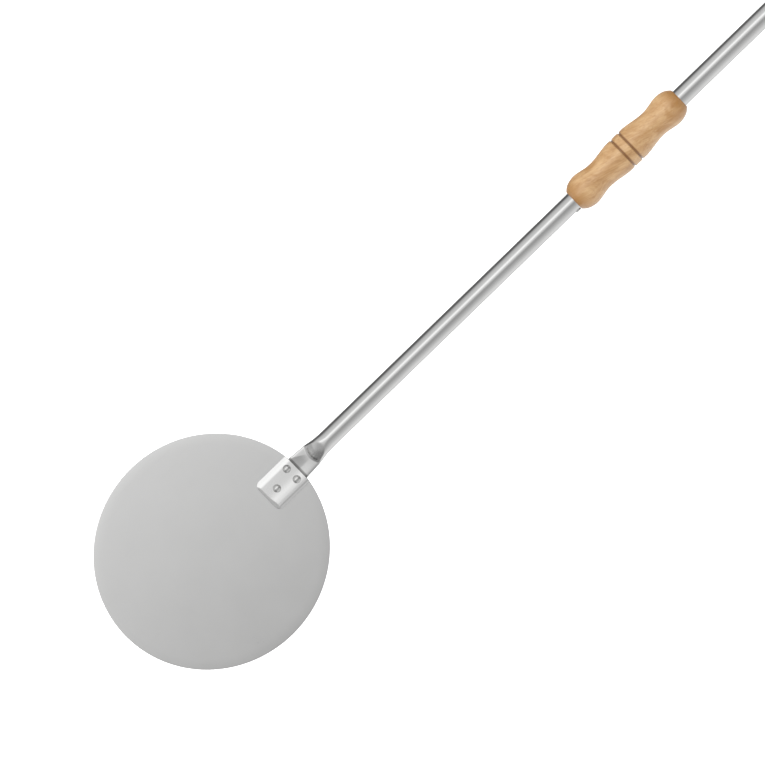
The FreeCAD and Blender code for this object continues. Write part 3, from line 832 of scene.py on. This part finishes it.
def build_rear_grip():
    start, end = rear_grip_reach()
    length = end - start
    end_radius = 6.5 * MM
    curve = smooth_profile(bulb_points() + [
        (WAIST_FROM_END, 15.0 * MM), (length - 34 * MM, 17.0 * MM), (length - 14 * MM, 15.7 * MM),
        (length, end_radius)], 200)
    thread = 1.5 * MM
    bore_end = start + 88.3 * MM
    profile = [(bore_end, 0.0), (bore_end, REAR_BORE_RADIUS)]
    profile += [(u, REAR_BORE_RADIUS) for u in np.linspace(bore_end - 5 * MM, start + 5 * MM, 6)]
    profile += [(start + BORE_LIP, REAR_BORE_RADIUS), (start, REAR_BORE_RADIUS + BORE_LIP)]
    profile += [(start + x, r) for x, r in curve]
    profile += [(end - 0.3 * MM, thread + 0.6 * MM), (end - 0.9 * MM, thread),
                (end - EYE_THREAD_DEPTH, thread), (end - EYE_THREAD_DEPTH, 0.0)]
    grip = lathe("rear_grip_wood", profile, along_tube, around=192)
    hole, outside = SCREW_HEAD_RADIUS + 0.12 * MM, 22 * MM
    seat = [(SCREW_SEAT, 0.0), (SCREW_SEAT, hole), (outside, hole), (outside, 0.0)]
    cut_with(grip, [lathe("seat_%d" % side, seat, screw_place(side), around=64) for side in (1, -1)])
    material = beech("beech_rear_grip", start, end, [], 1.0)
    finish_piece(grip, "shaft", ["rear_grip"], material)


# ---------------------------------------------------------------- rear screws
def screw_place(side):
    start, _ = rear_grip_reach()
    return lambda out, across, up: along_tube(start + SCREW_FROM_FRONT + across, side * out, up)


def build_rear_screw(side, node, material):
    """Slotted round-headed screw, from its seat in the wood down into the tube."""
    seat, height = 14.02 * MM, 1.78 * MM
    radius = SCREW_HEAD_RADIUS
    thread_crest, thread_root, pitch = 1.5 * MM, 1.22 * MM, 0.5 * MM
    ball = (radius ** 2 + height ** 2) / (2 * height)
    profile = [(5.6 * MM, 0.0), (5.9 * MM, 0.7 * MM)]
    for k in range(16):
        depth = 6.4 * MM + pitch * k
        profile += [(depth, thread_crest), (depth + pitch / 2, thread_root)]
    profile += [(seat, thread_crest), (seat, radius)]
    for k in range(1, 16):
        r = radius * math.cos(math.pi / 2 * k / 16)
        profile.append((seat + math.sqrt(ball ** 2 - r ** 2) - (ball - height), r))
    profile.append((seat + height, 0.0))
    place = screw_place(side)
    screw = lathe(node + "_metal", profile, place, around=64)
    slot = bmesh.new()
    bmesh.ops.create_cube(slot, size=1.0)
    size = Matrix.Diagonal((2.6 * radius, 1.8 * MM, 0.9 * MM, 1.0))
    slot.transform(Matrix.Translation(place(seat + height + 0.05 * MM, 0, 0)) @ size)
    mesh = bpy.data.meshes.new("slot")
    slot.to_mesh(mesh)
    slot.free()
    cutter = bpy.data.objects.new("slot", mesh)
    bpy.context.scene.collection.objects.link(cutter)
    cut_with(screw, [cutter])
    finish_piece(screw, "shaft", [node], material)


# ---------------------------------------------------------------- screw eye and ring
WIRE_AROUND = 28


def build_screw_eye(material):
    """One piece of wire: stem, a bend, and a loop that almost closes on the stem."""
    _, grip_end = rear_grip_reach()
    wire = 1.25 * MM
    middle = 4.75 * MM                             # radius of the loop's wire centre
    neck = 1.5 * MM
    centre_u = grip_end + neck + middle
    stem_end = centre_u - middle
    path = [along_tube(u) for u in (grip_end - 17.8 * MM, grip_end - 9 * MM, grip_end - 1 * MM)]
    path.append(along_tube(stem_end - 0.4 * MM))
    steps = 72
    open_turn = 0.50                               # left open in the loop, in radians
    for k in range(steps + 1):
        turn = math.pi - (2 * math.pi - open_turn) * k / steps
        path.append(along_tube(centre_u + middle * math.cos(turn), 0, middle * math.sin(turn)))
    eye = sweep("screw_eye_wire", path, wire, around=WIRE_AROUND)
    finish_piece(eye, "shaft", ["screw_eye"], material)


def build_hanging_ring(material):
    """Wire ring, butted and welded at the bottom, where a fine seam shows."""
    low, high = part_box("hanging_ring")
    centre = (low + high) / 2
    wire = (high.x - low.x) / 2
    middle = (high.y - low.y) / 2 - wire
    path = []
    steps = 144
    for k in range(steps):
        turn = 2 * math.pi * k / steps - math.pi / 2
        path.append(Vector((centre.x, centre.y + middle * math.cos(turn),
                            centre.z + middle * math.sin(turn))))
    ring = sweep("hanging_ring_wire", path, wire, closed=True, around=WIRE_AROUND)
    seam = 0.12 * MM
    hub = path[0]
    for vertex in ring.data.vertices[:WIRE_AROUND]:
        vertex.co = hub + (vertex.co - hub) * (1 - seam / wire)
    finish_piece(ring, "ring", ["hanging_ring"], material)


# ---------------------------------------------------------------- studio
CANOPY_RADIUS = 1.2
# radiance round the handle's axis, by the angle from straight up towards +Y, in degrees
CANOPY_LIGHT = [
    (-180, 0.60), (-140, 0.86), (-112, 0.92), (-94, 0.88), (-77, 0.76), (-63, 0.66), (-49, 0.56), (-36, 0.48),
    (-24, 0.42), (-12, 0.45), (0, 0.74), (9, 0.98), (17, 1.26), (26, 1.32), (33, 1.02), (42, 0.76),
    (63, 0.70), (77, 0.58), (92, 0.36), (104, 0.12), (124, 0.12), (140, 0.36), (180, 0.60),
]
# share of that light along the canopy, by x in metres
CANOPY_REACH = 3.0
CANOPY_LENGTHWISE = [(-3.0, 1.0), (1.10, 1.0), (1.60, 0.50), (3.0, 0.50)]
CANOPY_ENDS = (-9.0, 10.0)
# towards the blade's far side the canopy turns into an even wall that is brighter on the left
WALL_TONE = 0.47
WALL_TILT = 0.22
WALL_START = -0.80
WALL_FULL = -1.35


def build_canopy():
    """Large soft studio canopy, seen only in reflections: a long tube of light round the handle."""
    centre = along_tube(0.3)
    around = 128
    points = []
    for x in CANOPY_ENDS:
        for k in range(around):
            turn = 2 * math.pi * k / around
            points.append((x, centre.y + CANOPY_RADIUS * math.sin(turn),
                           centre.z + CANOPY_RADIUS * math.cos(turn)))
    faces = ring_faces(0, around, around) + [tuple(range(around)), tuple(range(around, 2 * around))]
    canopy = make_object("studio_canopy", points, faces)

    n = Nodes("studio_canopy_light")
    n.tree.nodes.remove(n.shader)
    emission = n.add("ShaderNodeEmission")
    n.link(emission.outputs["Emission"], n.tree.nodes["Material Output"].inputs["Surface"])
    split = n.add("ShaderNodeSeparateXYZ")
    n.link(n.add("ShaderNodeTexCoord").outputs["Object"], split.inputs["Vector"])
    angle = n.math("ARCTAN2", split.outputs["Y"], n.math("SUBTRACT", split.outputs["Z"], centre.z))
    share = n.math("ADD", n.math("DIVIDE", angle, 2 * math.pi), 0.5)
    brightest = max(value for _, value in CANOPY_LIGHT)
    light = n.ramp(share, [(degrees / 360 + 0.5, value / brightest) for degrees, value in CANOPY_LIGHT])
    to_left = n.math("SUBTRACT", split.outputs["Y"], centre.y)
    wall = n.math("ADD", n.math("MULTIPLY", to_left, WALL_TILT / CANOPY_RADIUS / brightest),
                  WALL_TONE / brightest)
    wall_share = n.add("ShaderNodeMapRange", From_Min=WALL_START, From_Max=WALL_FULL)
    wall_share.interpolation_type = "SMOOTHSTEP"
    n.link(split.outputs["X"], wall_share.inputs["Value"])
    n.link(n.mix(wall_share.outputs["Result"], light, wall), emission.inputs["Color"])
    along = n.math("DIVIDE", n.math("ADD", split.outputs["X"], CANOPY_REACH), 2 * CANOPY_REACH)
    lengthwise = n.ramp(along, [((x + CANOPY_REACH) / (2 * CANOPY_REACH), value)
                                for x, value in CANOPY_LENGTHWISE])
    n.link(n.math("MULTIPLY", lengthwise, brightest), emission.inputs["Strength"])
    canopy.data.materials.append(n.material)
    canopy.visible_camera = False
    canopy.visible_diffuse = False
    canopy.visible_shadow = False
    canopy.visible_transmission = False


FLOOR_HALF = 12.0
FLOOR_HEIGHT = -0.0002


def build_floor():
    """Pale seamless floor just under the blade, glowing a little so that no shadow shows."""
    corners = [(-1, -1), (1, -1), (1, 1), (-1, 1)]
    points = [(x * FLOOR_HALF, y * FLOOR_HALF, FLOOR_HEIGHT) for x, y in corners]
    floor = make_object("studio_floor", points, [(0, 1, 2, 3)])
    n = Nodes("studio_floor_paper")
    paper = n.noise(n.coordinates((1, 1, 1)), 30.0, detail=3.0)
    n.link(n.ramp(paper, [(0.3, 0.90), (0.7, 0.93)]), n.shader.inputs["Base Color"])
    n.shader.inputs["Roughness"].default_value = 0.9
    n.shader.inputs["Specular IOR Level"].default_value = 0.0
    n.shader.inputs["Emission Color"].default_value = (1.0, 1.0, 1.0, 1.0)
    n.shader.inputs["Emission Strength"].default_value = 0.9
    floor.data.materials.append(n.material)
    floor.visible_glossy = False


def area_light(name, place, target, size, watts):
    light = bpy.data.lights.new(name, "AREA")
    light.shape = "RECTANGLE"
    light.size, light.size_y = size
    light.energy = watts
    lamp = bpy.data.objects.new(name, light)
    lamp.location = place
    lamp.rotation_euler = (Vector(target) - Vector(place)).to_track_quat("-Z", "Y").to_euler()
    lamp.visible_glossy = False
    bpy.context.scene.collection.objects.link(lamp)


def build_lights():
    world = bpy.data.worlds.new("studio_white")
    world.use_nodes = True
    background = world.node_tree.nodes["Background"]
    background.inputs["Color"].default_value = (1.0, 1.0, 1.0, 1.0)
    background.inputs["Strength"].default_value = 1.05
    bpy.context.scene.world = world
    area_light("key_softbox", (0.2, 0.9, 1.6), (0.25, 0.0, 0.0), (2.4, 0.9), 22)


CAMERA_HEIGHT = 12.0
SENSOR_WIDTH = 36.0
PICTURE_WIDTH = 0.7433            # how much of the table the picture shows, in metres
PICTURE_CENTRE = (0.2335, 0.0025)
HANDLE_TURN = 44.1                # degrees from the picture's horizontal


def build_camera():
    """Straight above, turned so that the handle runs to the upper right."""
    camera = bpy.data.cameras.new("camera")
    camera.sensor_width = SENSOR_WIDTH
    camera.lens = SENSOR_WIDTH * CAMERA_HEIGHT / PICTURE_WIDTH
    eye = bpy.data.objects.new("camera", camera)
    eye.location = (*PICTURE_CENTRE, CAMERA_HEIGHT)
    eye.rotation_euler = (0, 0, -math.radians(HANDLE_TURN))
    camera.clip_end = 50.0
    bpy.context.scene.collection.objects.link(eye)
    bpy.context.scene.camera = eye
    bpy.context.scene.view_settings.view_transform = "Standard"
    bpy.context.scene.view_settings.look = "None"


# ---------------------------------------------------------------- everything
def main():
    blade_steel = steel("satin_blade_steel", (0.69, 0.69, 0.685), (0.27, 0.34), (900, 900, 900), 0.10,
                        (14, 700, 700), wear=0.015)
    plate_steel = steel("pressed_plate_steel", (0.80, 0.80, 0.795), (0.20, 0.27), (600, 600, 600), 0.14,
                        (30, 600, 600), wear=0.03)
    tube_steel = steel("drawn_tube_steel", (0.72, 0.72, 0.715), (0.13, 0.18), (12, 1600, 1600), 0.08,
                       (8, 900, 900), wear=0.03, plate_shade_band=(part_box("cover_plate")[1].x, 3.2 * MM))
    rivet_steel = steel("rivet_steel", (0.70, 0.70, 0.69), (0.12, 0.20), (800, 800, 800), 0.15,
                        (300, 300, 300), wear=0.05)
    wire_steel = steel("plated_wire_steel", (0.71, 0.71, 0.70), (0.14, 0.22), (700, 700, 700), 0.12,
                       (90, 900, 900), wear=0.05)
    build_blade(blade_steel)
    build_cover_plate(plate_steel)
    for place in ("left", "right", "tip"):
        build_head_rivet(place, rivet_steel)
    build_tube(tube_steel)
    build_stop_rivet(rivet_steel)
    build_liner(dull_plastic("liner_brown_plastic", (0.050, 0.028, 0.016)))
    build_sliding_grip()
    build_rear_grip()
    build_rear_screw(1, "rear_grip_screw_left", rivet_steel)
    build_rear_screw(-1, "rear_grip_screw_right", rivet_steel)
    build_screw_eye(wire_steel)
    build_hanging_ring(wire_steel)
    build_floor()
    build_canopy()
    build_lights()
    build_camera()


main()
